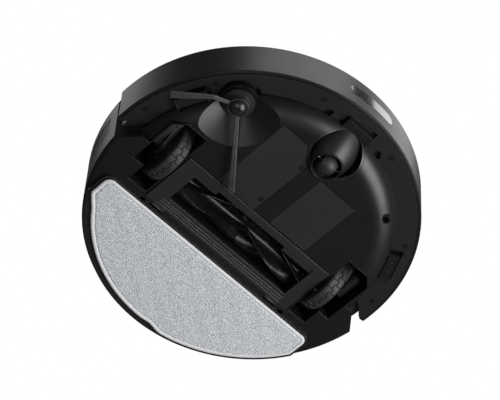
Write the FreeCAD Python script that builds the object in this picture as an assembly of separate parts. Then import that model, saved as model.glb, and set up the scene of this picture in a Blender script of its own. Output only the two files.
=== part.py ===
"""Robot vacuum with a mop: a round, flat-topped machine on two driven wheels and a caster.

Frame: millimetres, +Z up from the floor, -Y is the front (bumper) side, origin on the floor under
the middle of the machine's length. The sizes below are worked out about the axis of the round
bumper wall, which stands AXIS_Y behind that origin. "Left" nodes lie at -X, "right" nodes at +X.
"""
import FreeCAD, Part
import math
import os

from FreeCAD import Vector

# ---- driving dimensions -------------------------------------------------------------------------
BODY_DIAMETER = 350.0      # across the bumper wall
BODY_TOP = 80.0            # top cover above the floor
AXIS_Y = 3.25              # axis of the round bumper wall behind the middle of the length
BASE_Z = 10.0              # underside of the flat base
FRAME_Z = 9.0              # underside of the brush frame
WALL = 2.4                 # moulded wall thickness

BUMPER_R = BODY_DIAMETER / 2
BUMPER_TRAVEL = 3.0
BUMPER_BOTTOM = 26.2       # underside of the bumper flange
BUMPER_TOP = 74.6
FLANGE_R = 148.5           # inner edge of the bumper flange

LIP_R = 149.5              # edge of the front band of the base
NECK_R = 144.5             # pan wall behind the bumper flange
FRAME_R = 164.0            # upper frame behind the bumper
REAR_R = 168.5             # rear body wall
REAR_BEND = 5.0            # rounding of the pan's rear edge, below a small step to the wall
DECK_Z = 31.0              # joint between base pan and upper frame
FRAME_TOP = 75.0

WHEEL_R = 34.0
WHEEL_Y = 2.5
WHEEL_X0, WHEEL_X1 = 103.0, 118.4      # inner and outer side of a tyre
PIVOT_Y, PIVOT_Z = -37.0, 42.0         # hinge of the wheel's swing arm

CASTER_Y = -124.0
CASTER_R = 26.0            # clear radius of the caster cup
ROLLER_R = 11.5
ROLLER_Y = CASTER_Y + 13.0

SIDE_X, SIDE_Y = -107.0, -94.3         # side brush axis
BRUSH_Y, BRUSH_Z = 11.0, 26.0          # main brush axis
BRUSH_R = 18.5
MOTOR_Y, MOTOR_Z = -14.0, 60.0         # main brush motor axis
LATCH_XS = (-80.0, 80.0)     # latches behind the brush frame
TANK_X, TANK_Y = 134.0, 61.4           # half width and front wall of the rear tank
TANK_NECK_X, TANK_STEP_Y = 92.0, 99.0  # its narrow front part

FAN_X, FAN_Y = -118.0, 70.0
PAD_R, PAD_Y, PAD_X = 162.3, 54.0, 141.0
PLATE_R, PLATE_Y = 166.0, 52.8

X, Y, Z = Vector(1, 0, 0), Vector(0, 1, 0), Vector(0, 0, 1)
CHEEKS = (("left", -1), ("right", 1))
os.makedirs("parts", exist_ok=True)


# ---- small makers -------------------------------------------------------------------------------
def box(x0, x1, y0, y1, z0, z1):
    """Block between the given faces."""
    return Part.makeBox(x1 - x0, y1 - y0, z1 - z0, Vector(x0, y0, z0))


def side_box(side, x0, x1, y0, y1, z0, z1):
    """Block whose x range is mirrored to the left for side -1."""
    low, high = sorted((side * x0, side * x1))
    return box(low, high, y0, y1, z0, z1)


def post(x, y, r, z0, z1):
    """Vertical cylinder."""
    return Part.makeCylinder(r, z1 - z0, Vector(x, y, z0), Z)


def rod(x0, x1, y, z, r):
    """Cylinder along X."""
    low, high = min(x0, x1), max(x0, x1)
    return Part.makeCylinder(r, high - low, Vector(low, y, z), X)


def prism(points, z0, z1):
    """Upright prism over a closed outline of (x, y) points."""
    corners = [Vector(x, y, z0) for x, y in points]
    return Part.Face(Part.makePolygon(corners + corners[:1])).extrude(Vector(0, 0, z1 - z0))


def slab(points, side, x0, x1):
    """Prism along X over a closed outline of (y, z) points."""
    corners = [Vector(side * x0, y, z) for y, z in points]
    return Part.Face(Part.makePolygon(corners + corners[:1])).extrude(Vector(side * (x1 - x0), 0, 0))


def turned(profile):
    """Solid of revolution about Z. A profile entry is (r, z), or (r, z, r2, z2) for an arc whose
    middle point comes first."""
    edges = []
    last = Vector(profile[0][0], 0, profile[0][1])
    for entry in profile[1:] + profile[:1]:
        end = Vector(entry[-2], 0, entry[-1])
        if len(entry) == 4:
            edges.append(Part.Arc(last, Vector(entry[0], 0, entry[1]), end).toShape())
        elif (end - last).Length > 1e-9:
            edges.append(Part.makeLine(last, end))
        last = end
    return Part.Face(Part.Wire(edges)).revolve(Vector(0, 0, 0), Z, 360)


def ring(r0, r1, z0, z1):
    """Flat ring about the machine's centre."""
    return post(0, 0, r1, z0, z1).cut(post(0, 0, r0, z0, z1))


def fuse(shapes):
    """One shape from several."""
    return shapes[0].multiFuse(shapes[1:]).removeSplitter()


def group(shapes):
    """Separate solids kept in one node."""
    return Part.makeCompound([solid for shape in shapes for solid in shape.Solids])


def mirrored(shape, side):
    """The shape for side 1, its mirror image in X for side -1."""
    return shape if side > 0 else shape.mirror(Vector(0, 0, 0), X)


def at_angle(shape, degrees):
    """The shape turned about the machine's vertical axis."""
    copy = shape.copy()
    copy.rotate(Vector(0, 0, 0), Z, degrees)
    return copy


def pan_head_screw(x, y, head_z, shank, head_r=2.6, shank_r=1.4):
    """Cross-head screw seen from below: head at head_z, shank upwards."""
    body = post(x, y, head_r, head_z, head_z + 1.6).fuse(post(x, y, shank_r, head_z + 1.6, head_z + shank))
    cross = box(x - 1.5, x + 1.5, y - 0.3, y + 0.3, head_z, head_z + 0.9)
    return body.cut(cross.fuse(box(x - 0.3, x + 0.3, y - 1.5, y + 1.5, head_z, head_z + 0.9)))


def save(name, shape):
    """Write one node, moved so that the origin lies under the middle of the whole machine."""
    if not shape.isValid() or not shape.Solids:
        print("BAD SHAPE", name)
    if len(shape.Solids) == 1:
        shape = shape.Solids[0]
    shape.translated(Vector(0, AXIS_Y, 0)).exportStep("parts/%s.step" % name)


# ---- outer form of the chassis ------------------------------------------------------------------
# The rear body is wider than the front one, which sits inside the bumper. Its front ends slant.
REAR_ZONE = [(-220, 80), (-166, 17.8), (-152.9, 2.7), (-149, -1.8), (149, -1.8), (152.9, 2.7), (166, 17.8),
             (220, 80), (220, 220), (-220, 220)]


def chassis_form(inset, top):
    """Solid outer form of the pan, shrunk by the inset."""
    band = 26.55 - inset               # radius of the front band's hollow curve, centre (126, 36.55)
    bend = REAR_BEND - inset
    front_end = math.asin(min(1.0, (LIP_R - inset * 3.1 - 126) / band))
    front = [(0, BASE_Z + inset), (126, BASE_Z + inset),
             (126 + band * math.sin(front_end / 2), 36.55 - band * math.cos(front_end / 2),
              126 + band * math.sin(front_end), 36.55 - band * math.cos(front_end))]
    if inset == 0:
        front += [(LIP_R, 25.4), (NECK_R, 25.4)]
    neck = NECK_R if inset == 0 else 126 + band * math.sin(front_end)
    front += [(neck, top), (0, top)]
    rear_end = math.radians(72)
    bend_r, bend_z = REAR_R - REAR_BEND, BASE_Z + REAR_BEND
    rear = [(0, BASE_Z + inset), (bend_r, BASE_Z + inset),
            (bend_r + bend * math.sin(rear_end / 2), bend_z - bend * math.cos(rear_end / 2),
             bend_r + bend * math.sin(rear_end), bend_z - bend * math.cos(rear_end)),
            (REAR_R - inset, bend_z - bend * math.cos(rear_end)), (REAR_R - inset, top), (0, top)]
    zone = [(x, y + inset * 1.4 if y < 90 else y) for x, y in REAR_ZONE]
    return turned(front).fuse(turned(rear).common(prism(zone, 0, top)))


OUTER = chassis_form(0, DECK_Z)
INNER = chassis_form(WALL, DECK_Z + 5)

# ---- sensor seats: blocks of the pan that stand in notches of the bumper flange -------------------
SENSOR_ANGLES = (0.0, -66.3, 66.3)     # about Z from the front
SENSOR_Y = -153.2


def sensor_block(grow, z0, z1):
    """The three sensor seats, enlarged by grow on their sides."""
    seat = box(-17 - grow, 17 + grow, SENSOR_Y - 6 - grow, SENSOR_Y + 9 + grow, z0, z1)
    return [at_angle(seat, angle) for angle in SENSOR_ANGLES]


# ---- wheel wells ---------------------------------------------------------------------------------
def well_outline(grow):
    """Right-hand well in plan: wheel slot, and the gearbox pocket outside it with a cut corner."""
    inner, middle, outer = 101.6 - grow, 124.4 + grow, 137.9 + grow
    front, back, step = -44.0 - grow, 43.0 + grow, 22.0 + grow
    return [(inner, front), (128, front), (outer, -33.5), (outer, step), (middle, step), (middle, back),
            (inner, back)]


def well(grow, z0, z1, side):
    """A wheel well's volume."""
    return prism([(side * x, y) for x, y in well_outline(grow)], z0, z1)


WELL_WALL = 1.4
wells_cut = [well(WELL_WALL + 0.15, 5, 80, side) for _, side in CHEEKS]

# ---- base pan ------------------------------------------------------------------------------------
BOWL_R = 45.0
SHAFT_BOSS_R = 19.0
bowl_wall = Part.makeCone(BOWL_R + 3.0, 20.5, 14.5, Vector(SIDE_X, SIDE_Y, BASE_Z), Z).common(OUTER)
bowl = Part.makeCone(BOWL_R + 4.0, 18.0, 14.0, Vector(SIDE_X, SIDE_Y, 8.4), Z)
brush_cut = box(-99.4, 99.4, -19.4, 46.9, 5, 40)
battery_room = box(-58.6, -20, -104, -30, 5, 30)
cover_outline = [(-61, -20), (-11, -20), (-11, -93.5), (-28, -112), (-61, -112)]
cover_seat = prism([(-61.3, -19.7), (-10.7, -19.7), (-10.7, -93.7), (-27.9, -112.3),
                    (-61.3, -112.3)], 5, 12.1)
label_seat = box(10.8, 60.2, -91.7, -20.8, 9, 10.5)
case_screw_spots = [(90.0, -106.0), (97.5, 53.0), (-97.5, 53.0)]

pan = OUTER.cut(INNER)
pan = fuse([pan, bowl_wall, box(-64, -8, -115, -17, 11, 16.5), post(SIDE_X, SIDE_Y, SHAFT_BOSS_R, 20, DECK_Z)]
           + [post(x, y, 5.2, 12, DECK_Z) for x, y in case_screw_spots]
           + [block.cut(INNER) for block in sensor_block(0, 21, DECK_Z)])
pan = pan.cut(bowl).cut(post(SIDE_X, SIDE_Y, 17.0, 24.4, DECK_Z + 1))
pan = pan.cut(post(SIDE_X, SIDE_Y, 18.0, 8, 22.4)).cut(post(SIDE_X, SIDE_Y, 3.3, 20, 30))
drive_lobe = prism([(SIDE_X + a, SIDE_Y + b) for a, b in ((4, -9), (23, 8), (11, 23), (-8, 4))],
                   24.4, DECK_Z + 1)
pan = pan.cut(drive_lobe)
pan = pan.cut(brush_cut).cut(battery_room).cut(cover_seat).cut(label_seat)
pan = pan.cut(post(0, CASTER_Y, CASTER_R + 2.5, 5, 60))
for cut in wells_cut:
    pan = pan.cut(cut)
for x in LATCH_XS:
    pan = pan.cut(box(x - 8.4, x + 8.4, 46.0, 52.4, 5, 13.2))
for window in sensor_block(-1.5, 20, 22.6):
    pan = pan.cut(window)
tank_zone = prism([(-TANK_X - 0.4, 220), (-TANK_X - 0.4, TANK_STEP_Y - 0.4),
                   (-TANK_NECK_X - 0.4, TANK_STEP_Y - 0.4),
                   (-TANK_NECK_X - 0.4, TANK_Y - 0.4), (TANK_NECK_X + 0.4, TANK_Y - 0.4),
                   (TANK_NECK_X + 0.4, TANK_STEP_Y - 0.4), (TANK_X + 0.4, TANK_STEP_Y - 0.4),
                   (TANK_X + 0.4, 220)], 12.7, 72.8)
FLOOR_R = 145.6            # the pan's floor ends here under the tank
pan = pan.cut(tank_zone)
pan = pan.cut(prism([(-TANK_X - 0.4, 220), (-TANK_X - 0.4, TANK_STEP_Y - 0.4),
                     (TANK_X + 0.4, TANK_STEP_Y - 0.4), (TANK_X + 0.4, 220)], 5, 40).cut(
                         post(0, 0, FLOOR_R, 4, 41)))
for x, y in case_screw_spots:
    pan = pan.cut(post(x, y, 3.4, 5, 22)).cut(post(x, y, 1.5, 20, 40))
for x, y in ((-14, -89), (-15, -33)):
    pan = pan.cut(post(x, y, 1.5, 11, 18))
save("base_pan", max(pan.Solids, key=lambda solid: solid.Volume))

# ---- upper frame: wall ring, its deck and the grille windows --------------------------------------
VENT_Z0, VENT_Z1 = 36.0, 62.0
VENT_A0, VENT_A1 = 154.6, 169.0


def sector(a0, a1, r, z0, z1):
    """Wedge about Z between two angles in degrees."""
    outline = [(0, 0)] + [(r * math.cos(math.radians(a)), r * math.sin(math.radians(a)))
                          for a in (a0, (a0 + a1) / 2, a1)]
    return prism(outline, z0, z1)


def body_ring(outer_cut, z0, z1):
    """Filled plan of the upper body, inset from the outside."""
    zone = [(x, y + outer_cut * 1.4 if y < 90 else y) for x, y in REAR_ZONE]
    rear = post(0, 0, REAR_R - outer_cut, z0, z1).common(prism(zone, z0, z1))
    return post(0, 0, FRAME_R - outer_cut, z0, z1).fuse(rear)


upper = body_ring(0, DECK_Z, FRAME_TOP).cut(body_ring(WALL, DECK_Z + 2.2, FRAME_TOP + 1))
upper = upper.cut(post(0, 0, 141.0, DECK_Z - 1, DECK_Z + 3)).cut(tank_zone)
upper = upper.cut(post(SIDE_X, SIDE_Y, 17.0, DECK_Z - 1, DECK_Z + 4)).cut(drive_lobe)
upper = upper.cut(post(0, CASTER_Y, CASTER_R + 2.5, DECK_Z - 1, 50))
for cut in wells_cut:
    upper = upper.cut(cut)
upper = upper.cut(post(FAN_X, FAN_Y, 21.5, 30, 34)).cut(box(-146.5, FAN_X, 54.5, 68.5, 30, 34))
for _, side in CHEEKS:
    window = sector(VENT_A0, VENT_A1, 200, VENT_Z0, VENT_Z1).cut(post(0, 0, 150, 0, 80))
    upper = upper.cut(mirrored(window, -side))
for x, y in case_screw_spots[:1]:
    upper = upper.cut(post(x, y, 1.5, DECK_Z - 1, 40))
save("upper_frame", max(upper.Solids, key=lambda solid: solid.Volume))

grilles = []
for _, side in CHEEKS:
    plate = ring(REAR_R - 2.0, REAR_R - 0.5, VENT_Z0 + 0.15, VENT_Z1 - 0.15).common(
        sector(VENT_A0 + 0.12, VENT_A1 - 0.12, 200, 30, 70))
    holes = []
    for row in range(7):
        for column in range(13):
            angle = math.radians(155.7 + column * 1.02)
            across = Vector(math.cos(angle), math.sin(angle), 0)
            spot = Vector(0, 0, VENT_Z0 + 2.6 + row * 3.5) + across * 160
            holes.append(Part.makeCylinder(0.9, 12, spot, across))
    grilles.append(mirrored(plate.cut(Part.makeCompound(holes)), -side))
save("vent_grilles", group(grilles))

# ---- top cover and its buttons --------------------------------------------------------------------
BUTTONS = (("power_button", -14.0), ("home_button", 14.0))
BUTTON_Y, BUTTON_R = -132.0, 6.2


def cover_disc(r):
    """Top cover with a rounded edge of the given radius and a locating rim below."""
    return turned([(0, 77.2), (158, 77.2), (158, 72.9), (160.2, 72.9), (160.2, 75.4), (r - 1, 75.4),
                   (r, 76.4),
                   (r - 1.1, 78.6, r - 4.5, BODY_TOP), (0, BODY_TOP)])


cover = cover_disc(REAR_R + 0.2).fuse(cover_disc(172.5).common(box(-180, 180, -180, 8.6, 70, 90)))
cover = cover.cut(ring(158.9, 159.6, 79.4, 81))
for name, x in BUTTONS:
    cover = cover.cut(post(x, BUTTON_Y, BUTTON_R + 0.25, 70, 90))
cover = cover.cut(box(-TANK_X - 1, TANK_X + 1, 80, 170, 70, 75.3))
save("top_cover", cover)
for name, x in BUTTONS:
    cap = post(x, BUTTON_Y, BUTTON_R, 76.6, BODY_TOP + 0.2)
    cap = cap.fuse(post(x, BUTTON_Y, BUTTON_R + 1.6, 75.6, 76.8))
    cap = cap.fuse(post(x, BUTTON_Y, 1.5, 74.2, 76))
    save(name, cap.removeSplitter())

# ---- rear tank: dust box in the middle, water on both sides, lid, filter and release button --------
tank_plan = [(-TANK_X, 220), (-TANK_X, TANK_STEP_Y), (-TANK_NECK_X, TANK_STEP_Y), (-TANK_NECK_X, TANK_Y),
             (TANK_NECK_X, TANK_Y), (TANK_NECK_X, TANK_STEP_Y), (TANK_X, TANK_STEP_Y), (TANK_X, 220)]
LID_Z = 68.0
tank_form = body_ring(0, DECK_Z, 72.2).fuse(chassis_form(0, DECK_Z)).common(prism(tank_plan, 0, 72.2))
tank_form = tank_form.cut(post(0, 0, FLOOR_R + 0.5, 5, 13.0))
tank = tank_form.cut(post(0, 0, FLOOR_R + 16, LID_Z, 80))
DUST_BOX = (-62.0, 62.0, 64.0, 132.0, 20.0)          # the dust chamber: x, x, y, y, floor
dust_room = box(DUST_BOX[0], DUST_BOX[1], DUST_BOX[2], DUST_BOX[3], DUST_BOX[4], 80)
tank = tank.cut(dust_room)
water_plan = [(-131.8, 220), (-131.8, 101.2), (-64.2, 101.2), (-64.2, 134.2), (64.2, 134.2), (64.2, 63.6),
              (89.8, 63.6), (89.8, 101.2), (131.8, 101.2), (131.8, 220)]
water_room = prism(water_plan, 17.0, 80).common(post(0, 0, 161.4, 17, 80)).cut(box(-26, 26, 150, 180, 10, 80))
air_room = box(-89.8, -64.2, 63.6, 97.0, 17.0, 80)
tank = tank.cut(water_room).cut(air_room).cut(box(-42, 42, 55, 66, 32.0, 45.0))
tank = tank.cut(box(-92.5, -60, 76.0, 92.0, 34.0, 44.0))
release_gap = box(-22.4, 22.4, 158, 180, 47.6, 60.4)
tank = tank.cut(release_gap)
save("dust_tank", max(tank.Solids, key=lambda solid: solid.Volume))

lid = post(0, 0, FLOOR_R + 15.6, LID_Z + 0.1, LID_Z + 2.4).common(prism(tank_plan, 0, 90))
lid = lid.cut(box(-30, 30, 92, 95, LID_Z + 1.4, 90))
save("tank_lid", lid)

filter_frame = box(-61.8, -54.0, 68.0, 100.0, 26.0, 52.0)
for pleat in range(7):
    y = 71.0 + pleat * 4.0
    filter_frame = filter_frame.cut(box(-58.5, -53, y, y + 2.4, 29.0, 49.0))
save("dust_filter", filter_frame)

release = ring(REAR_R - 4.5, REAR_R, 48.0, 60.0).common(box(-22, 22, 150, 180, 40, 70))
release = release.cut(ring(REAR_R - 0.8, REAR_R + 1, 52.0, 56.0).common(box(-12, 12, 150, 180, 40, 70)))
save("tank_release", release)

# ---- battery, boards, switches -------------------------------------------------------------------
battery_cover = prism(cover_outline, BASE_Z, 12.0)
for x, y in ((-14, -89), (-15, -33)):
    battery_cover = battery_cover.cut(post(x, y, 1.6, 5, 15)).cut(post(x, y, 2.9, 5, 11.2))
save("battery_cover", battery_cover)

cells = []
for column in range(2):
    for row in range(2):
        cells.append(Part.makeCylinder(9.2, 65.0, Vector(-48.4 + column * 18.3, -99.5, 21.8 + row * 18.3), Y))
pack = fuse(cells + [box(-50, -27.6, -99, -35, 15, 46.6)])
save("battery_pack", pack)
save("label_plate", box(11, 60, -91.5, -21, 10.0, 10.45))

board = box(-62, 62, -112, -40, 57.0, 58.6)
chips = [box(-20, 0, -90, -70, 58.6, 60.4), box(10, 24, -85, -71, 58.6, 60.2),
         box(-50, -38, -100, -60, 58.6, 64.0),
         box(35, 50, -60, -48, 58.6, 66.0), post(45, -90, 5, 58.6, 68.0), post(45, -76, 5, 58.6, 68.0)]
save("main_board", fuse([board] + chips))

switches = []
for _, side in CHEEKS:
    body = box(-10, 10, -168.4, -164.15, 44, 52)
    lever = box(-5, 5, -168.9, -168.4, 47, 49)
    switches.append(at_angle(body.cut(post(0, 0, FRAME_R + 0.15, 40, 60)).fuse(lever), 28.0 * side))
save("bumper_switches", group(switches))

contacts = [at_angle(box(REAR_R + 0.02, REAR_R + 0.9, -3, 3, 40, 52), angle) for angle in (28.6, 32.6)]
save("charging_contacts", group([contact.cut(post(0, 0, REAR_R + 0.02, 30, 60)) for contact in contacts]))

# ---- bumper ---------------------------------------------------------------------------------------
# In plan the bumper ends in slanting edges, (147, -9) to (161.8, 0.7) to (168.6, 7), on both sides.
FRONT_ZONE = [(-200, 7.0), (-168.6, 7.0), (-161.8, 0.7), (-155, -5.3), (-147, -9.0), (-143, -40),
              (-140, -50), (140, -50), (143, -40), (147, -9.0), (155, -5.3), (161.8, 0.7), (168.6, 7.0),
              (200, 7.0), (200, -200), (-200, -200)]
front_zone = prism(FRONT_ZONE, 20, 90)
clearance = []
for block in sensor_block(1.2, 20, 40):
    for shift in (0.0, -BUMPER_TRAVEL / 2 - 0.3, -BUMPER_TRAVEL - 0.6):
        moved = block.copy()
        moved.translate(Vector(0, shift, 0))
        clearance.append(moved)
for shift in (0.0, -BUMPER_TRAVEL / 2, -BUMPER_TRAVEL - 0.5):
    clearance.append(post(SIDE_X, SIDE_Y + shift, 20.5, 20, 40))
    clearance.append(post(0, CASTER_Y + shift, CASTER_R + 3.6, 20, 50))
for _, side in CHEEKS:
    clearance.append(side_box(side, 31, 37, -151.5, -140, 20, 29))
    clearance.append(side_box(side, 33, 39, -148.5, -140, 20, 29))
FLANGE_SCREWS = [(side * x, y) for x, y in ((162, -18), (135, -90), (48, -154)) for _, side in CHEEKS]

flange = ring(FLANGE_R, 171.4, BUMPER_BOTTOM, BUMPER_BOTTOM + 2.4).common(front_zone)
for cut in clearance:
    flange = flange.cut(cut)
for x, y in FLANGE_SCREWS:
    flange = flange.cut(post(x, y, 1.5, 20, 30)).cut(post(x, y, 3.0, 20, BUMPER_BOTTOM + 1.0))
save("bumper_flange", max(flange.Solids, key=lambda solid: solid.Volume))

wall = turned([(171.8, 27.0), (172.6, 26.6), (173.2, 26.6), (173.2, 27.4), (173.8, 27.4), (173.8, 26.8),
               (174.4, 26.9), (BUMPER_R, 27.8), (BUMPER_R, 72.6), (174.4, 74.0, 172.9, BUMPER_TOP),
               (171.8, BUMPER_TOP)])
seat = ring(154.5, 172.0, BUMPER_BOTTOM + 2.4, BUMPER_BOTTOM + 4.2)
shell = wall.fuse(seat).common(front_zone)
for _, side in CHEEKS:
    end_rib = side_box(side, 167.6, 172.4, 4.6, 7.0, BUMPER_BOTTOM + 3, BUMPER_TOP)
    shell = shell.fuse(end_rib)
IR_Z, IR_HEIGHT, IR_X = 51.5, 15.5, 29.5


def pill(half_width, height, y0, y1):
    """Rounded bar through the front wall."""
    r = height / 2
    ends = [Part.makeCylinder(r, y1 - y0, Vector(x, y0, IR_Z), Y) for x in (-half_width + r, half_width - r)]
    return fuse([box(-half_width + r, half_width - r, y0, y1, IR_Z - r, IR_Z + r)] + ends)


shell = shell.cut(pill(IR_X, IR_HEIGHT, -180, -150))
for cut in clearance:
    shell = shell.cut(cut)
for x, y in FLANGE_SCREWS:
    shell = shell.cut(post(x, y, 1.5, 20, 32))
save("bumper_shell", max(shell.Solids, key=lambda solid: solid.Volume))
save("ir_window", ring(172.4, 175.2, 40, 62).common(pill(IR_X - 0.15, IR_HEIGHT - 0.3, -180, -150)))
save("flange_screws", group([pan_head_screw(x, y, BUMPER_BOTTOM - 0.6, 4.6) for x, y in FLANGE_SCREWS]))

# ---- cliff sensors: a window with two lenses in each seat ------------------------------------------
sensors = []
for angle in SENSOR_ANGLES:
    glass = box(-15.4, 15.4, SENSOR_Y - 4.4, SENSOR_Y + 4.4, 21.2, 22.5)
    lenses = [post(x, SENSOR_Y, 1.7, 20.8, 21.6) for x in (-6.0, 6.0)]
    sensors.append(at_angle(fuse([glass] + lenses), angle))
cup_room = post(0, CASTER_Y, CASTER_R + 2.5, 10, 40)
save("cliff_sensors", group([sensor.cut(cup_room) for sensor in sensors]))

# ---- caster ---------------------------------------------------------------------------------------
CUP_TOP = 46.0
cup = post(0, CASTER_Y, CASTER_R + 2.3, BASE_Z, CUP_TOP)
cup = cup.cut(post(0, CASTER_Y, CASTER_R, 5, CUP_TOP - 2.4)).cut(post(0, CASTER_Y, 4.06, 40, 50))
below_pan = post(0, 0, 200, 0, DECK_Z).cut(OUTER.fuse(post(0, CASTER_Y, 40, 22.5, DECK_Z)))
save("caster_cup", cup.cut(below_pan))

HOOD_R, HOOD_INNER = 15.5, 13.6
hood_centre = Vector(0, CASTER_Y, 25.0)
hood_way = Vector(0, 0.866, -0.5)


def hood_form(r, length):
    """Ball with a tube that leans back and down."""
    return Part.makeSphere(r, hood_centre).fuse(Part.makeCylinder(r, length, hood_centre, hood_way))


hood = hood_form(HOOD_R, 21.0).cut(hood_form(HOOD_INNER, 30.0))
hood = hood.common(post(0, CASTER_Y, 25.0, 2.4, 60)).cut(rod(-9.3, 9.3, ROLLER_Y, ROLLER_R, ROLLER_R + 1.2))
for _, side in CHEEKS:
    boss = rod(side * 9.4, side * 14.4, ROLLER_Y, ROLLER_R, 3.6)
    hood = hood.fuse(boss.common(post(0, CASTER_Y, 24.6, 2.4, 60)))
hood = hood.fuse(post(0, CASTER_Y, 4.0, 39.5, 49.0)).fuse(post(0, CASTER_Y, 7.0, 40.0, 43.2))
hood = hood.fuse(post(0, CASTER_Y, 5.6, 46.3, 47.6))
hood = hood.cut(rod(-20, 20, ROLLER_Y, ROLLER_R, 1.5))
save("caster_hood", max(hood.Solids, key=lambda solid: solid.Volume))
save("caster_axle", rod(-14.0, 14.0, ROLLER_Y, ROLLER_R, 1.5))
roller = Part.Face(Part.Wire([
    Part.makeLine(Vector(-8.8, 1.56, 0), Vector(-8.8, 8.6, 0)),
    Part.Arc(Vector(-8.8, 8.6, 0), Vector(0, ROLLER_R, 0), Vector(8.8, 8.6, 0)).toShape(),
    Part.makeLine(Vector(8.8, 8.6, 0), Vector(8.8, 1.56, 0)),
    Part.makeLine(Vector(8.8, 1.56, 0), Vector(-8.8, 1.56, 0))])).revolve(Vector(0, 0, 0), X, 360)
roller.translate(Vector(0, ROLLER_Y, ROLLER_R))
save("caster_wheel", roller)

# ---- side brush and its drive ----------------------------------------------------------------------
GEAR_TEETH, PINION_TEETH, MODULE = 32, 10, 0.7
GEAR_Z0, GEAR_Z1 = 27.2, 31.2
DRIVE_ANGLE = 41.4                     # from the brush axis towards the machine's centre
drive_span = MODULE * (GEAR_TEETH + PINION_TEETH) / 2 + 0.15
pinion_x = SIDE_X + drive_span * math.cos(math.radians(DRIVE_ANGLE))
pinion_y = SIDE_Y + drive_span * math.sin(math.radians(DRIVE_ANGLE))


def spur_gear(x, y, teeth, phase, bore):
    """Straight-toothed gear. The middle of one tooth points along the phase angle, in degrees."""
    pitch = MODULE * teeth / 2
    outline = []
    for tooth in range(teeth):
        middle = math.radians(phase + 360.0 * tooth / teeth)
        for r, half in ((pitch - 0.85, 0.36), (pitch - 0.1, 0.25), (pitch + 0.6, 0.12)):
            outline.append((r, middle - half * 2 * math.pi / teeth))
        for r, half in ((pitch + 0.6, 0.12), (pitch - 0.1, 0.25), (pitch - 0.85, 0.36)):
            outline.append((r, middle + half * 2 * math.pi / teeth))
    points = [(x + r * math.cos(a), y + r * math.sin(a)) for r, a in outline]
    return prism(points, GEAR_Z0, GEAR_Z1).cut(post(x, y, bore, GEAR_Z0 - 1, GEAR_Z1 + 1))


hub = turned([(0, 5.2), (4.7, 6.3, 8.2, 9.4), (9.1, 11.6, 9.25, 14.0), (11.5, 17.0), (16.0, 17.8),
              (16.0, 19.6),
              (8.0, 20.6), (3.2, 20.6), (3.2, 33.0), (0, 33.0)])
hub.translate(Vector(SIDE_X, SIDE_Y, 0))
hub = hub.cut(post(SIDE_X, SIDE_Y, 2.8, 4, 7.2)).cut(post(SIDE_X, SIDE_Y, 1.2, 7, 20))
save("side_brush_hub", hub)
save("side_brush_screw", pan_head_screw(SIDE_X, SIDE_Y, 5.5, 12.0, 2.5, 1.2))


def arm(stations):
    """Soft arm through stations (x, y, z, width, thickness) along its length."""
    sections = []
    for index, (x, y, z, width, thickness) in enumerate(stations):
        before = stations[max(index - 1, 0)]
        after = stations[min(index + 1, len(stations) - 1)]
        along = Vector(after[0] - before[0], after[1] - before[1], 0)
        along.normalize()
        across = Vector(-along.y, along.x, 0) * (width / 2)
        up = Vector(0, 0, thickness / 2)
        middle = Vector(x, y, z)
        corners = [middle - across - up, middle + across - up, middle + across + up, middle - across + up]
        sections.append(Part.makePolygon(corners + corners[:1]))
    return Part.makeLoft(sections, True, True)


def polar(angle, r):
    """Point at a distance from the side brush axis."""
    return (SIDE_X + r * math.cos(math.radians(angle)), SIDE_Y + r * math.sin(math.radians(angle)))


collar = post(SIDE_X, SIDE_Y, 10.6, 9.8, 13.4).cut(post(SIDE_X, SIDE_Y, 9.3, 9, 14))
long_arm = arm([polar(49.4, 9.8) + (11.6, 4.0, 2.6), polar(49.4, 30) + (7.6, 4.6, 2.4),
                polar(49.4, 60) + (3.6, 5.8, 1.9), polar(49.4, 94.5) + (1.1, 7.0, 1.4)])
bent_arm = arm([polar(169, 9.8) + (11.6, 4.2, 2.6), (-127.0, -89.0, 9.2, 4.6, 2.4),
                (-133.7, -87.6, 7.0, 5.0, 2.2), (-150.0, -75.6, 3.6, 6.6, 1.9),
                 (-167.0, -62.0, 1.1, 8.0, 1.4)])
save("side_brush_arms", fuse([collar, long_arm, bent_arm]))

save("side_brush_gear", spur_gear(SIDE_X, SIDE_Y, GEAR_TEETH, DRIVE_ANGLE, 3.2))
pinion_phase = DRIVE_ANGLE + 180 + 180.0 / PINION_TEETH
pinion = spur_gear(pinion_x, pinion_y, PINION_TEETH, pinion_phase, 1.0)
save("side_brush_pinion", pinion.fuse(post(pinion_x, pinion_y, 1.0, 26.6, 36.0)).removeSplitter())

lobe_outline = [polar(DRIVE_ANGLE + a, r) for a, r in ((90, 5.2), (-90, 5.2), (-14, 20.5), (14, 20.5))]
case = fuse([post(SIDE_X, SIDE_Y, 15.6, 24.8, 34.6), prism(lobe_outline, 24.8, 34.6)])
room = fuse([post(SIDE_X, SIDE_Y, 12.6, 26.4, 32.8), post(pinion_x, pinion_y, 4.8, 26.4, 32.8)])
case = case.cut(room).cut(post(SIDE_X, SIDE_Y, 3.3, 20, 33.2)).cut(post(pinion_x, pinion_y, 1.06, 30, 40))
save("side_brush_gearbox", case)
side_motor = fuse([post(pinion_x, pinion_y, 7.5, 36.2, 60.0), post(pinion_x, pinion_y, 3.0, 60, 62),
                   post(pinion_x, pinion_y, 4.0, 34.7, 36.2)])
save("side_brush_motor", side_motor.cut(post(pinion_x, pinion_y, 1.06, 30, 37)))

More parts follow.
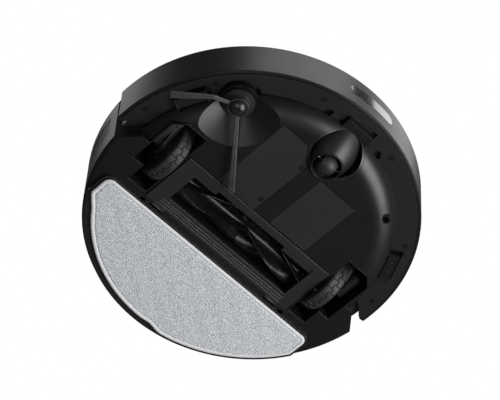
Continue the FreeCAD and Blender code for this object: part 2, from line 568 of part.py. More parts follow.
# ---- main brush housing, frame, brush and drive ------------------------------------------------------
CHAMBER_R = 22.8
housing = fuse([box(-99.2, 99.2, -19.2, 46.7, 13.3, 36.0), rod(-99.2, 99.2, BRUSH_Y, BRUSH_Z, 25.2),
                box(-46, 46, 20, 46.7, 30, 48)])
housing = housing.common(box(-99.2, 99.2, -19.2, 46.7, 13.3, 60))
housing = housing.cut(rod(-87.0, 87.0, BRUSH_Y, BRUSH_Z, CHAMBER_R))
housing = housing.cut(box(-87, 87, -11.8, 33.8, 5, BRUSH_Z))
housing = housing.cut(box(89.8, 97.4, -17.6, 24, 5, 60)).cut(rod(86, 91, BRUSH_Y, BRUSH_Z, 4.2))
housing = housing.cut(rod(-90.6, -86, BRUSH_Y, BRUSH_Z, 7.0))
housing = housing.fuse(box(-44, 44, 46.0, 60.9, 30.0, 47.0)).cut(box(-40, 40, 20, 62, 33.0, 44.0))
save("brush_housing", max(housing.Solids, key=lambda solid: solid.Volume))

core = fuse([rod(-85.6, 85.6, BRUSH_Y, BRUSH_Z, 6.2), rod(-90.2, 97.0, BRUSH_Y, BRUSH_Z, 3.0)])
save("main_brush_core", core)
left_bush = rod(-90.4, -86.2, BRUSH_Y, BRUSH_Z, 6.9).cut(rod(-91, -86, BRUSH_Y, BRUSH_Z, 3.05))
right_bush = rod(87.2, 89.6, BRUSH_Y, BRUSH_Z, 4.1).cut(rod(86, 91, BRUSH_Y, BRUSH_Z, 3.05))
save("main_brush_bushes", group([left_bush, right_bush]))


def blade(start, x0, x1, twist, steps=7):
    """Twisted fin that stands on the core, through evenly turned sections."""
    sections = []
    for step in range(steps + 1):
        share = step / steps
        angle = math.radians(start + twist * share)
        out = Vector(0, math.cos(angle), math.sin(angle))
        flat = Vector(0, -math.sin(angle), math.cos(angle)) * 1.1
        middle = Vector(x0 + (x1 - x0) * share, BRUSH_Y, BRUSH_Z)
        corners = [middle + out * 5.4 - flat, middle + out * BRUSH_R - flat, middle + out * BRUSH_R + flat,
                   middle + out * 5.4 + flat]
        sections.append(Part.makePolygon(corners + corners[:1]))
    return Part.makeLoft(sections, True, True)


BLADES, BLADE_TWIST = 5, 95.0
BLADE_X0, BLADE_MIDDLE, BLADE_X1 = -78.8, 2.0, 82.8
blades = []
for number in range(BLADES):
    for _, side in CHEEKS:
        end = BLADE_X0 if side < 0 else BLADE_X1
        fin = blade(number * 360.0 / BLADES + 20, BLADE_MIDDLE + side * 0.4, end, BLADE_TWIST)
        blades.append(fin.cut(rod(-90, 90, BRUSH_Y, BRUSH_Z, 6.2)))
save("main_brush_blades", group(blades))

PULLEY_R, MOTOR_PULLEY_R = 7.6, 4.75
big_pulley = fuse([rod(91.0, 96.8, BRUSH_Y, BRUSH_Z, PULLEY_R - 0.05),
                   rod(90.2, 91.2, BRUSH_Y, BRUSH_Z, 9.0)])
save("brush_pulley", big_pulley.cut(rod(89, 99, BRUSH_Y, BRUSH_Z, 3.0)))
small_pulley = rod(91.0, 96.8, MOTOR_Y, MOTOR_Z, MOTOR_PULLEY_R - 0.05)
small_pulley = small_pulley.cut(rod(89, 99, MOTOR_Y, MOTOR_Z, 1.5))
save("motor_pulley", small_pulley.fuse(rod(76.0, 96.4, MOTOR_Y, MOTOR_Z, 1.5)).removeSplitter())


def belt_form(extra):
    """Loop about both pulleys, enlarged by extra."""
    r0, r1 = PULLEY_R + extra, MOTOR_PULLEY_R + extra
    way = Vector(0, MOTOR_Y - BRUSH_Y, MOTOR_Z - BRUSH_Z)
    lean = math.acos((r0 - r1) / way.Length)
    base = math.atan2(way.z, way.y)
    outline = []
    for angle, r, y, z in ((base + lean, r0, BRUSH_Y, BRUSH_Z), (base + lean, r1, MOTOR_Y, MOTOR_Z),
                           (base - lean, r1, MOTOR_Y, MOTOR_Z), (base - lean, r0, BRUSH_Y, BRUSH_Z)):
        outline.append((y + r * math.cos(angle), z + r * math.sin(angle)))
    run = slab(outline, 1, 91.6, 96.2)
    return fuse([run, rod(91.6, 96.2, BRUSH_Y, BRUSH_Z, r0), rod(91.6, 96.2, MOTOR_Y, MOTOR_Z, r1)])


save("drive_belt", belt_form(1.4).cut(belt_form(0.02)))
save("brush_motor", fuse([rod(22, 74, MOTOR_Y, MOTOR_Z, 12.6), rod(74, 77, MOTOR_Y, MOTOR_Z, 5.0)])
     .cut(rod(75.8, 80, MOTOR_Y, MOTOR_Z, 1.56)))

grille = box(-98.4, 98.4, -18.4, 46.0, FRAME_Z, 13.0)
grille = grille.cut(box(-80, 84, -10, 32, 5, 15))
grille = grille.cut(box(-96.6, 96.6, -16.6, 44.2, 10.9, 15).cut(box(-82, 86, -12, 34, 5, 16)))
for rib in range(3):
    y = 35.2 + rib * 3.2
    grille = grille.cut(box(-84, 88, y, y + 1.4, FRAME_Z - 1, FRAME_Z + 0.9))
ledges = [box(-80.2, -50.5, -12.5, -4.6, FRAME_Z + 1.2, 12.6),
          box(43, 84.2, -12.5, -4.6, FRAME_Z + 1.2, 12.6)]
grille = fuse([grille] + ledges)
save("brush_frame", grille)
latches = [box(x - 8, x + 8, 46.3, 49.6, FRAME_Z + 0.3, 12.6).cut(box(x - 5, x + 5, 47.4, 48.6, 8, 10.2))
           for x in LATCH_XS]
save("frame_latches", group(latches))

# ---- wheels -------------------------------------------------------------------------------------------
AXLE_R = 3.0
for name, side in CHEEKS:
    tyre = rod(side * WHEEL_X0, side * WHEEL_X1, WHEEL_Y, WHEEL_R, WHEEL_R)
    tyre = tyre.makeChamfer(1.2, [edge for edge in tyre.Edges if edge.Length > 200 and edge.Closed])
    tyre = tyre.cut(rod(side * 100, side * 125, WHEEL_Y, WHEEL_R, 26.5))
    save("wheel_tyre_" + name, tyre)
    wheel = rod(side * (WHEEL_X0 + 0.8), side * (WHEEL_X1 - 0.6), WHEEL_Y, WHEEL_R, 26.45)
    wheel = wheel.cut(rod(side * 100, side * (WHEEL_X0 + 4), WHEEL_Y, WHEEL_R, 23.5)
                      .cut(rod(side * 100, side * 120, WHEEL_Y, WHEEL_R, 7.0)))
    for spoke in range(5):
        angle = math.radians(72.0 * spoke + 18)
        wheel = wheel.cut(rod(side * 100, side * 120, WHEEL_Y + 15.5 * math.cos(angle),
                              WHEEL_R + 15.5 * math.sin(angle), 5.0))
    axle = rod(side * (WHEEL_X0 + 0.8), side * 124.4, WHEEL_Y, WHEEL_R, AXLE_R)
    save("wheel_hub_" + name, fuse([wheel, axle]))

    gear_case = fuse([rod(side * 119.4, side * 125.2, WHEEL_Y, WHEEL_R, 16.5),
                      rod(side * 119.4, side * 125.2, PIVOT_Y, PIVOT_Z, 6.0),
                      slab([(PIVOT_Y, PIVOT_Z + 5.8), (PIVOT_Y + 1, PIVOT_Z - 5.8), (-2, WHEEL_R - 15.6),
                            (2, WHEEL_R + 16.2)], side, 119.4, 125.2)])
    gear_case = gear_case.cut(rod(side * 118, side * 127, WHEEL_Y, WHEEL_R, AXLE_R + 0.05))
    gear_case = gear_case.cut(rod(side * 118, side * 127, PIVOT_Y, PIVOT_Z, 2.56))
    save("wheel_gearbox_" + name, gear_case)
    motor = Part.makeCylinder(5.7, 27.0, Vector(side * 131.2, -27.0, 28.0), Y)
    motor = fuse([motor, Part.makeCylinder(4.4, 30.4, Vector(side * 131.2, -29.0, 28.0), Y)])
    save("wheel_motor_" + name, motor.fuse(side_box(side, 125.3, 128.0, -6, 2, 24, 32)))
    spring = post(side * 122.3, WHEEL_Y, 2.9, WHEEL_R + 16.7, 70.2)
    save("wheel_spring_" + name, spring.cut(post(side * 122.3, WHEEL_Y, 2.1, 40, 71)))

shells, pins = [], []
for _, side in CHEEKS:
    shell_box = well(WELL_WALL, BASE_Z, 71.8, side).cut(well(0, 5, 70.4, side))
    shells.append(shell_box.cut(rod(side * 100, side * 150, PIVOT_Y, PIVOT_Z, 2.5)))
    pins.append(rod(side * 118.8, side * 136.9, PIVOT_Y, PIVOT_Z, 2.5))
save("wheel_housings", group(shells))
save("wheel_pivot_pins", group(pins))

# ---- fan ------------------------------------------------------------------------------------------------
fan_case = fuse([post(FAN_X, FAN_Y, 21.0, 24.0, 44.0), box(FAN_X, -93.0, 77.0, 91.0, 33.3, 44.0),
                 box(-146.0, FAN_X, 55.0, 67.0, 30.0, 42.0)])
fan_room = fuse([post(FAN_X, FAN_Y, 19.4, 25.6, 42.4), box(FAN_X, -92.0, 78.6, 89.4, 34.6, 42.4),
                 box(-147.0, FAN_X, 56.6, 65.4, 31.6, 40.4)])
fan_case = fan_case.cut(fan_room).cut(post(FAN_X, FAN_Y, 2.1, 40, 50))
save("fan_housing", fan_case)
impeller = post(FAN_X, FAN_Y, 17.6, 27.0, 28.4).fuse(post(FAN_X, FAN_Y, 4.0, 27.0, 36.0))
fins = []
for number in range(9):
    fin = box(4.0 - 0.4, 16.8, -0.5, 0.5, 28.0, 36.0)
    fin.rotate(Vector(0, 0, 0), Z, number * 40.0)
    fins.append(fin.translated(Vector(FAN_X, FAN_Y, 0)))
impeller = fuse([impeller] + fins + [post(FAN_X, FAN_Y, 2.0, 36, 46.0)])
save("fan_impeller", impeller)
save("fan_motor", post(FAN_X, FAN_Y, 13.0, 44.1, 66.0).cut(post(FAN_X, FAN_Y, 2.06, 40, 50)))

# ---- mop ------------------------------------------------------------------------------------------------
def half_moon(r, y0, half_x, z0, z1, corner):
    """Half disc behind y0, cut at its sides, with rounded front corners."""
    moon = post(0, 0, r, z0, z1).common(box(-half_x, half_x, y0, r + 5, z0, z1))
    uprights = [edge for edge in moon.Edges
                if abs(edge.Vertexes[0].X - edge.Vertexes[-1].X) < 1e-6 and edge.BoundBox.ZLength > 1
                and edge.BoundBox.YLength < 1e-6 and abs(edge.Vertexes[0].Y - y0) < 1e-6]
    return moon.makeFillet(corner, uprights)


plate = half_moon(PLATE_R, PLATE_Y, PAD_X + 3.2, 6.6, 9.7, 9.0)
for rib in range(-5, 6):
    plate = plate.cut(box(rib * 22 - 8, rib * 22 + 8, 70, 72, 8.7, 10))
save("mop_plate", plate)
save("mop_pad", half_moon(PAD_R, PAD_Y, PAD_X, 3.6, 6.4, 8.0))

# ---- screws -----------------------------------------------------------------------------------------------
screws = [pan_head_screw(x, y, 9.6, 7.6, 2.7, 1.4) for x, y in ((-14, -89), (-15, -33))]
screws += [pan_head_screw(x, y, 20.0, 12.0, 2.9, 1.4) for x, y in case_screw_spots]
save("base_screws", group(screws))
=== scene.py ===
"""Robot vacuum with a mop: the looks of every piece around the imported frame.

Metres, +Z up from the floor, -Y is the bumper side. "Left" pieces lie at -X.
"""
import math

import bpy
import numpy as np
from mathutils import Matrix, Vector


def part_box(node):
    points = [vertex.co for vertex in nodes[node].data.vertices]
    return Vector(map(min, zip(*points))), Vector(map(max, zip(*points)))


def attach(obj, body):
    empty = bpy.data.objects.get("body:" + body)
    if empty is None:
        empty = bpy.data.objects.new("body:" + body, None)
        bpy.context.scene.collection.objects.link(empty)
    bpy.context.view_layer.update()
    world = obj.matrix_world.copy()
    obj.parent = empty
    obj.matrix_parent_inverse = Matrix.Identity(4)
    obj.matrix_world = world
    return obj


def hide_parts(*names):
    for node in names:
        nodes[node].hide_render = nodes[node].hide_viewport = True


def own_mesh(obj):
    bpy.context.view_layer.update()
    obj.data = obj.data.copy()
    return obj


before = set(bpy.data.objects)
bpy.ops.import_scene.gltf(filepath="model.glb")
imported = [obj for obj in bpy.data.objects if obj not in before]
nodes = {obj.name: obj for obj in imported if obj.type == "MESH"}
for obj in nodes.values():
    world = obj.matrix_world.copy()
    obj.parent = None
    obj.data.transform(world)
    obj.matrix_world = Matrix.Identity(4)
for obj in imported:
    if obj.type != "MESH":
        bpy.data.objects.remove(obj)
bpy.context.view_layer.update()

# ---- camera and light ------------------------------------------------------------------------------
# The machine is seen from below, in front of its left side. A large soft box stands on the right and
# makes the long highlight on the pan. Three smaller ones, behind, over and left of the machine, light
# the bumper's wall, and one beside the camera lights the cloth.
CAMERA_AT = Vector((-1.0221, -1.16565, -2.1999))
CAMERA_RIGHT = Vector((0.70969, -0.70321, 0.04277))
CAMERA_UP = Vector((-0.59771, -0.56887, 0.56492))
CAMERA_BACK = CAMERA_RIGHT.cross(CAMERA_UP)
MACHINE_MIDDLE = Vector((0, 0, 0.04))
SENSOR_MM, LENS_MM = 36.0, 192.7

camera_data = bpy.data.cameras.new("camera")
camera_data.sensor_width = SENSOR_MM
camera_data.lens = LENS_MM
camera = bpy.data.objects.new("camera", camera_data)
camera_turn = Matrix((CAMERA_RIGHT, CAMERA_UP, CAMERA_BACK)).transposed().to_4x4()
camera.matrix_world = Matrix.Translation(CAMERA_AT) @ camera_turn
bpy.context.scene.collection.objects.link(camera)
bpy.context.scene.camera = camera
bpy.context.scene.view_settings.view_transform = "Standard"


def soft_box(name, right, up, back, width, height, watts):
    """Rectangular lamp that faces the machine, at a place counted along the camera's axes."""
    lamp = bpy.data.lights.new(name, "AREA")
    lamp.shape = "RECTANGLE"
    lamp.size, lamp.size_y = width, height
    lamp.energy = watts
    stand = bpy.data.objects.new(name, lamp)
    way = CAMERA_RIGHT * right + CAMERA_UP * up + CAMERA_BACK * back
    turn = way.to_track_quat("Z", "Y").to_matrix().to_4x4()
    stand.matrix_world = Matrix.Translation(MACHINE_MIDDLE + way) @ turn
    stand.visible_camera = False
    bpy.context.scene.collection.objects.link(stand)


soft_box("light_right", 1.34, -0.68, 1.0, 1.7, 0.95, 36)
soft_box("light_behind", 1.16, 0.66, -1.54, 0.9, 0.8, 4.2)
soft_box("light_over", 0.6, 1.55, -0.82, 1.25, 0.8, 6.6)
soft_box("light_left", -1.0, 0.85, -1.4, 0.7, 0.8, 2.2)
soft_box("light_front", -0.3, -0.2, 2.2, 0.8, 0.8, 6)


class Value:
    """A shader socket that takes part in arithmetic: each operator adds one Math node."""

    def __init__(self, paint, socket):
        self.paint, self.socket = paint, socket

    def joined(self, operation, first, second):
        """Math node on the two values."""
        return self.paint.node("ShaderNodeMath", {"operation": operation}, {0: first, 1: second})

    def __add__(self, other):
        return self.joined("ADD", self, other)

    def __sub__(self, other):
        return self.joined("SUBTRACT", self, other)

    def __rsub__(self, other):
        return self.joined("SUBTRACT", other, self)

    def __mul__(self, other):
        return self.joined("MULTIPLY", self, other)

    __radd__ = __add__


class Paint:
    """A material or world in the making: node() makes every node of its tree."""

    def __init__(self, holder):
        holder.use_nodes = True
        self.holder, self.tree = holder, holder.node_tree
        self.tree.nodes.clear()

    def node(self, kind, settings=None, sockets=None, output=0):
        """New node: its settings first, then the values or links of its sockets."""
        made = self.tree.nodes.new(kind)
        for key, value in (settings or {}).items():
            setattr(made, key, value)
        for key, value in (sockets or {}).items():
            if isinstance(value, Value):
                self.tree.links.new(value.socket, made.inputs[key])
            else:
                made.inputs[key].default_value = value
        return Value(self, made.outputs[output] if len(made.outputs) else None)

    def mix(self, share, first, second):
        """Colour mixed from first, at share 0, to second, at share 1."""
        sockets = {0: share, 6: first, 7: second}
        return self.node("ShaderNodeMix", {"data_type": "RGBA"}, sockets, output=2)

    def noise(self, place, scale, detail=2.0):
        """Soft random value, about 0.5, with features 1/scale metres long."""
        return self.node("ShaderNodeTexNoise", None, {"Vector": place, "Scale": scale, "Detail": detail})


# The studio is white to the eye, and gives the dark plastics only a dim light all round.
STUDIO_GREY = 0.08
studio = Paint(bpy.data.worlds.new("studio"))
bpy.context.scene.world = studio.holder
eye_ray = studio.node("ShaderNodeLightPath", output="Is Camera Ray")
dim_studio = studio.node("ShaderNodeBackground", None, {"Color": (*[STUDIO_GREY] * 3, 1)})
white_studio = studio.node("ShaderNodeBackground", None, {"Color": (1, 1, 1, 1)})
studio_light = studio.node("ShaderNodeMixShader", None, {0: eye_ray, 1: dim_studio, 2: white_studio})
studio.node("ShaderNodeOutputWorld", None, {"Surface": studio_light})

# ---- floor: plain and pale, one-way so that the underside can be seen through it -------------------
# A plane that sends the eye on when it is met from its lower side, and never stops the lamps below.
FLOOR_HALF, FLOOR_GREY = 4.0, 0.82
floor_mesh = bpy.data.meshes.new("floor")
floor_mesh.from_pydata([(-FLOOR_HALF, -FLOOR_HALF, 0), (FLOOR_HALF, -FLOOR_HALF, 0),
                        (FLOOR_HALF, FLOOR_HALF, 0), (-FLOOR_HALF, FLOOR_HALF, 0)], [], [(0, 1, 2, 3)])
floor = bpy.data.objects.new("floor", floor_mesh)
bpy.context.scene.collection.objects.link(floor)
floor_paint = Paint(bpy.data.materials.new("pale_floor"))
floor_eye = floor_paint.node("ShaderNodeLightPath", output="Is Camera Ray")
floor_back = floor_paint.node("ShaderNodeNewGeometry", output="Backfacing")
floor_clear = floor_paint.node("ShaderNodeBsdfTransparent")
floor_matt = floor_paint.node("ShaderNodeBsdfDiffuse", None, {"Color": (*[FLOOR_GREY] * 3, 1)})
floor_look = floor_paint.node("ShaderNodeMixShader", None, {
    0: floor_eye * (1 - floor_back), 1: floor_clear, 2: floor_matt})
floor_paint.node("ShaderNodeOutputMaterial", None, {"Surface": floor_look})
floor_mesh.materials.append(floor_paint.holder)

# ---- base pan: the black moulded bottom with the rounded band round its front half -----------------
# Injection-moulded ABS with a fine grain. The brush housing, the side brush gearbox, the wheel
# housings and the fan housing are moulded in the same black.


def moulded(name, colour, roughness, rub_and_glint_gain=2.2, rounding=0.0004, grain=0.00002):
    """Moulded plastic: fine grain, faint cloudy marks in the gloss, and rounded edges painted lighter
    where the rounded normal leaves the flat one: a painted highlight along every edge, with a little rub
    wear."""
    paint = Paint(bpy.data.materials.new(name))
    place = paint.node("ShaderNodeTexCoord", output="Object")
    cloud = paint.noise(place, 22.0, 3.0)
    speck = paint.noise(place, 1500.0)
    rounded = paint.node("ShaderNodeBevel", {"samples": 4}, {"Radius": rounding})
    plain = paint.node("ShaderNodeNewGeometry", output="Normal")
    facing = paint.node("ShaderNodeVectorMath", {"operation": "DOT_PRODUCT"}, {0: rounded, 1: plain},
                        output="Value")
    # Painted highlight: this edge mask lightens the colour of every rounded edge alike. It stands for the
    # glint on the edges, with a little rub wear.
    rub_and_glint = paint.node("ShaderNodeMath", {"operation": "MULTIPLY", "use_clamp": True}, {
        0: 1 - facing, 1: 4.0})
    light = [min(1.0, part * 1.22) for part in colour]
    body = paint.mix(cloud, [*colour, 1], [*light, 1])
    edge = [min(1.0, part * rub_and_glint_gain) for part in colour]
    grained = paint.node("ShaderNodeBump", None, {
        "Height": speck, "Distance": grain, "Strength": 0.6, "Normal": rounded})
    surface = paint.node("ShaderNodeBsdfPrincipled", None, {
        "Base Color": paint.mix(rub_and_glint, body, [*edge, 1]),
        "Roughness": roughness + (cloud - 0.5) * 0.1 + (speck - 0.5) * 0.06 - rub_and_glint * 0.06,
        "Normal": grained})
    paint.node("ShaderNodeOutputMaterial", None, {"Surface": surface})
    return paint.holder


def dress(material, *names):
    """Gives CAD nodes their material."""
    for name in names:
        for holder in nodes[name].material_slots:
            holder.material = material


pan_black = moulded("pan_black", (0.006, 0.006, 0.0063), 0.36)
inner_black = moulded("inner_black", (0.004, 0.004, 0.0043), 0.44)
dress(pan_black, "base_pan")
dress(inner_black, "brush_housing", "side_brush_gearbox", "wheel_housings", "fan_housing",
      "wheel_gearbox_left", "wheel_gearbox_right")

# ---- bumper: satin wall, the ring screwed under it and the flange screws ---------------------------
# The wall is a thin ABS shell with a fine satin grain. The ring below carries six small black screws.
satin_black = moulded("satin_black", (0.0105, 0.0105, 0.011), 0.36, rounding=0.0006, grain=0.00001)
flange_black = moulded("flange_black", (0.0095, 0.0095, 0.01), 0.42)
dress(satin_black, "bumper_shell", "upper_frame", "vent_grilles", "top_cover")
dress(flange_black, "bumper_flange", "bumper_switches")


def metal(name, colour, roughness, scratches=60.0):
    """Turned or drawn metal: fine lines in its gloss and a slightly uneven tone."""
    paint = Paint(bpy.data.materials.new(name))
    place = paint.node("ShaderNodeTexCoord", output="Object")
    stretched = paint.node("ShaderNodeMapping", None, {"Vector": place, "Scale": (1, 1, scratches)})
    lines = paint.noise(stretched, 120.0, 4.0)
    dull = [part * 0.78 for part in colour]
    scored = paint.node("ShaderNodeBump", None, {"Height": lines, "Distance": 0.00002, "Strength": 0.5})
    surface = paint.node("ShaderNodeBsdfPrincipled", None, {
        "Base Color": paint.mix(lines, [*dull, 1], [*colour, 1]),
        "Metallic": 1.0,
        "Roughness": roughness + (lines - 0.5) * 0.2,
        "Normal": scored})
    paint.node("ShaderNodeOutputMaterial", None, {"Surface": surface})
    return paint.holder


screw_black = metal("screw_black", (0.1, 0.1, 0.105), 0.36)
steel = metal("steel", (0.5, 0.5, 0.51), 0.28)
dress(screw_black, "flange_screws", "base_screws", "side_brush_screw")
dress(steel, "caster_axle", "wheel_pivot_pins")


# ---- windows: the infrared pill in the wall and the three cliff sensors in the ring ----------------
# Polished polycarbonate, so dark that it looks black, under a hard clear coat.
def polished(name, colour, roughness, coat=1.0, rounding=0.0003, specular=0.5):
    """Polished dark plastic under a clear coat, with a faint haze of fine scratches."""
    paint = Paint(bpy.data.materials.new(name))
    place = paint.node("ShaderNodeTexCoord", output="Object")
    haze = paint.noise(place, 45.0, 5.0)
    rounded = paint.node("ShaderNodeBevel", {"samples": 4}, {"Radius": rounding})
    bright = [min(1.0, part * 1.5) for part in colour]
    surface = paint.node("ShaderNodeBsdfPrincipled", None, {
        "Base Color": paint.mix(haze, [*colour, 1], [*bright, 1]),
        "Roughness": roughness + (haze - 0.5) * 0.08,
        "Specular IOR Level": specular,
        "Coat Weight": coat,
        "Coat Roughness": 0.08,
        "Normal": rounded})
    paint.node("ShaderNodeOutputMaterial", None, {"Surface": surface})
    return paint.holder


window_black = polished("window_black", (0.006, 0.006, 0.008), 0.16)
dress(window_black, "ir_window", "cliff_sensors")

# ---- battery cover and label plate -----------------------------------------------------------------
# Both are a little lighter than the pan, with a coarser matt grain. The label plate is left blank.
cover_grey = moulded("cover_grey", (0.0145, 0.0145, 0.015), 0.5, rub_and_glint_gain=1.8, rounding=0.0003,
                     grain=0.00004)
label_grey = moulded("label_grey", (0.0095, 0.0095, 0.01), 0.58, rub_and_glint_gain=1.6, grain=0.00005)
dress(cover_grey, "battery_cover")
dress(label_grey, "label_plate")

# ---- caster: cup, swivelling hood, roller and axle -------------------------------------------------
# The cup and the hood are smooth nylon. The roller is hard dark rubber on a steel pin.
caster_gloss = polished("caster_gloss", (0.009, 0.009, 0.0095), 0.36, coat=0.0)
dress(caster_gloss, "caster_cup")


def rubber(name, colour, roughness, grain=0.00003):
    """Moulded rubber: matt, a little dusty in its low spots, with a fine pebbled skin."""
    paint = Paint(bpy.data.materials.new(name))
    place = paint.node("ShaderNodeTexCoord", output="Object")
    dust = paint.noise(place, 90.0, 4.0)
    pebble = paint.node("ShaderNodeTexVoronoi", None, {"Vector": place, "Scale": 1100.0})
    rounded = paint.node("ShaderNodeBevel", {"samples": 4}, {"Radius": 0.0003})
    dusty = [min(1.0, part * 1.7 + 0.004) for part in colour]
    skin = paint.node("ShaderNodeBump", None, {
        "Height": pebble, "Distance": grain, "Strength": 0.7, "Normal": rounded})
    surface = paint.node("ShaderNodeBsdfPrincipled", None, {
        "Base Color": paint.mix(dust, [*colour, 1], [*dusty, 1]),
        "Roughness": roughness + (dust - 0.5) * 0.16,
        "Normal": skin})
    paint.node("ShaderNodeOutputMaterial", None, {"Surface": surface})
    return paint.holder


roller_rubber = rubber("roller_rubber", (0.01, 0.01, 0.0105), 0.5)
dress(roller_rubber, "caster_wheel", "drive_belt")

# ---- side brush: domed hub with two soft arms ------------------------------------------------------
# The hub is satin nylon on a steel screw. Each arm is a flat strap of soft grey elastomer with
# ribs along it, moulded on one collar that is pushed over the hub.
hub_gloss = polished("hub_gloss", (0.012, 0.012, 0.013), 0.36, coat=0.15)
dress(hub_gloss, "side_brush_hub")


def skin(points, rows_close=False):
    """Closed surface through a grid of points, shape (rows, columns, 3), whose columns go round.
    The rows join up too, or else each end is closed by a fan about its middle. Faces point outwards,
    as the sign of the enclosed volume tells."""
    rows, columns = points.shape[:2]
    places = points.reshape(-1, 3)
    row = np.arange(rows if rows_close else rows - 1)[:, None]
    column = np.arange(columns)[None, :]
    after, beside = (row + 1) % rows, (column + 1) % columns
    quads = np.stack([row * columns + column, row * columns + beside,
                      after * columns + beside, after * columns + column], axis=-1).reshape(-1, 4)
    faces = quads.tolist()
    if not rows_close:
        places = np.vstack([places, points[0].mean(0), points[-1].mean(0)])
        first, last = len(places) - 2, len(places) - 1
        ring = np.arange(columns)
        turned_ring = (ring + 1) % columns
        start = (rows - 1) * columns
        faces += np.stack([turned_ring, ring, np.full(columns, first)], axis=-1).tolist()
        faces += np.stack([start + ring, start + turned_ring, np.full(columns, last)], axis=-1).tolist()
    corner = places[quads]
    volume = np.einsum("ij,ij->", corner[:, 0], np.cross(corner[:, 1], corner[:, 2])) + np.einsum(
        "ij,ij->", corner[:, 0], np.cross(corner[:, 2], corner[:, 3]))
    if volume < 0:
        faces = [face[::-1] for face in faces]
    return places, faces


def build(name, skins, material, body, slot, *replaced, crease=math.radians(40)):
    """One new piece from its closed surfaces. It rides on a body and stands for CAD nodes."""
    places, faces, count = [], [], 0
    for part_places, part_faces in skins:
        places.append(part_places)
        faces += [[index + count for index in face] for face in part_faces]
        count += len(part_places)
    mesh = bpy.data.meshes.new(name)
    mesh.from_pydata(np.vstack(places).tolist(), [], faces)
    mesh.polygons.foreach_set("use_smooth", np.ones(len(mesh.polygons), bool))
    mesh.set_sharp_from_angle(angle=crease)
    mesh.materials.append(material)
    made = bpy.data.objects.new(name, mesh)
    bpy.context.scene.collection.objects.link(made)
    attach(made, body)
    if replaced:
        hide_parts(*replaced)
    return made


def smooth_line(stations, count):
    """Points along a Catmull-Rom curve through the stations, each a row of numbers."""
    stations = np.array(stations, float)
    padded = np.vstack([2 * stations[0] - stations[1], stations, 2 * stations[-1] - stations[-2]])
    share = np.linspace(0, len(stations) - 1 - 1e-9, count)
    index = share.astype(int)
    t = (share - index)[:, None]
    a, b, c, d = (padded[index + shift] for shift in range(4))
    return 0.5 * (2 * b + (c - a) * t + (2 * a - 5 * b + 4 * c - d) * t ** 2
                  + (3 * b - a - 3 * c + d) * t ** 3)


def strap(stations):
    """Arm through stations (x, y, z, width, thickness): a flat oval section with a groove down its
    middle and six ribs on each face, carried along the smooth line."""
    line = smooth_line(stations, 90)
    along = np.gradient(line[:, :2], axis=0)
    along /= np.linalg.norm(along, axis=1, keepdims=True)
    across = np.stack([-along[:, 1], along[:, 0], np.zeros(len(line))], axis=1)
    turn = np.linspace(0, 2 * np.pi, 72, endpoint=False)
    wide = np.sign(np.cos(turn)) * np.abs(np.cos(turn)) ** 0.6
    high = np.sign(np.sin(turn)) * np.abs(np.sin(turn)) ** 0.6
    ribs = 1 + 0.1 * np.cos(wide * 6 * np.pi) - 0.22 * np.exp(-(wide / 0.12) ** 2)
    side = across[:, None] * (line[:, 3] / 2)[:, None, None] * wide[None, :, None]
    up = np.array([0, 0, 1.0]) * (line[:, 4] / 2)[:, None, None] * (high * ribs)[None, :, None]
    return skin(line[:, None, :3] + side + up)


def turned(profile, x, y, steps=96):
    """Ring about a vertical axis: the closed profile of (radius, height) is carried round it."""
    angle = np.linspace(0, 2 * np.pi, steps, endpoint=False)[:, None]
    profile = np.array(profile, float)
    radius, height = profile[None, :, 0], profile[None, :, 1]
    points = np.stack([x + radius * np.cos(angle), y + radius * np.sin(angle),
                       height + 0 * angle], axis=-1)
    return skin(points, rows_close=True)


hub_low, hub_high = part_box("side_brush_hub")
hub_x, hub_y = (hub_low.x + hub_high.x) / 2, (hub_low.y + hub_high.y) / 2
ARM_ANGLE = math.radians(49.4)
# Stations of the long arm are (reach, z, width, thickness); those of the bent arm (x, y, z, width,
# thickness). Both count x and y from the hub. The collar is a profile of (radius, z).
LONG_ARM = ((0.0098, 0.0116, 0.004, 0.0026), (0.03, 0.0076, 0.0046, 0.0024),
            (0.06, 0.0036, 0.0058, 0.0019), (0.0945, 0.0011, 0.007, 0.0014))
BENT_ARM = ((-0.0096, 0.0019, 0.0116, 0.0042, 0.0026), (-0.02, 0.0053, 0.0092, 0.0046, 0.0024),
            (-0.0267, 0.0067, 0.007, 0.005, 0.0022), (-0.043, 0.0187, 0.0036, 0.0066, 0.0019),
            (-0.06, 0.0323, 0.0011, 0.008, 0.0014))
COLLAR = ((0.0093, 0.0098), (0.0103, 0.0098), (0.0106, 0.0101), (0.0106, 0.0131), (0.0103, 0.0134),
          (0.0093, 0.0134))
long_arm = strap([(hub_x + r * math.cos(ARM_ANGLE), hub_y + r * math.sin(ARM_ANGLE), z, wide, thick)
                  for r, z, wide, thick in LONG_ARM])
bent_arm = strap([(hub_x + x, hub_y + y, z, wide, thick) for x, y, z, wide, thick in BENT_ARM])
arm_grey = rubber("arm_grey", (0.024, 0.024, 0.025), 0.42, grain=0.00001)
build("side_brush_straps", [turned(COLLAR, hub_x, hub_y), long_arm, bent_arm], arm_grey, "side_brush",
      "bristle_arm", "side_brush_arms")

# ---- caster hood: a leaning tube that trails from the swivel and opens downwards round the roller --
# It is smooth nylon in one piece with its stem. Its root all but fills the cup.
cup_low, cup_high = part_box("caster_cup")
roller_low, roller_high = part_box("caster_wheel")
SWIVEL = np.array([(cup_low.x + cup_high.x) / 2, (cup_low.y + cup_high.y) / 2])
MOUTH = np.array([(roller_low.x + roller_high.x) / 2, (roller_low.y + roller_high.y) / 2])
MOUTH_R, MOUTH_Z = 0.0158, 0.0044
ROOT_R, ROOT_Z = 0.0252, 0.0245
HOOD_WALL, HOOD_BULGE = 0.0006, 0.0012
CUP_REACH, FREE_REACH = 0.0253, 0.0036
FREE_BELOW, FREE_FADE = 0.0094, 0.005
HOOD_LIP = ((0.01565, 0.0041), (0.0153, 0.004), (0.0149, 0.0041), (0.0147, 0.0045), (0.0144, 0.0062),
            (0.0138, 0.008), (0.0138, 0.015), (0.0138, 0.0235))


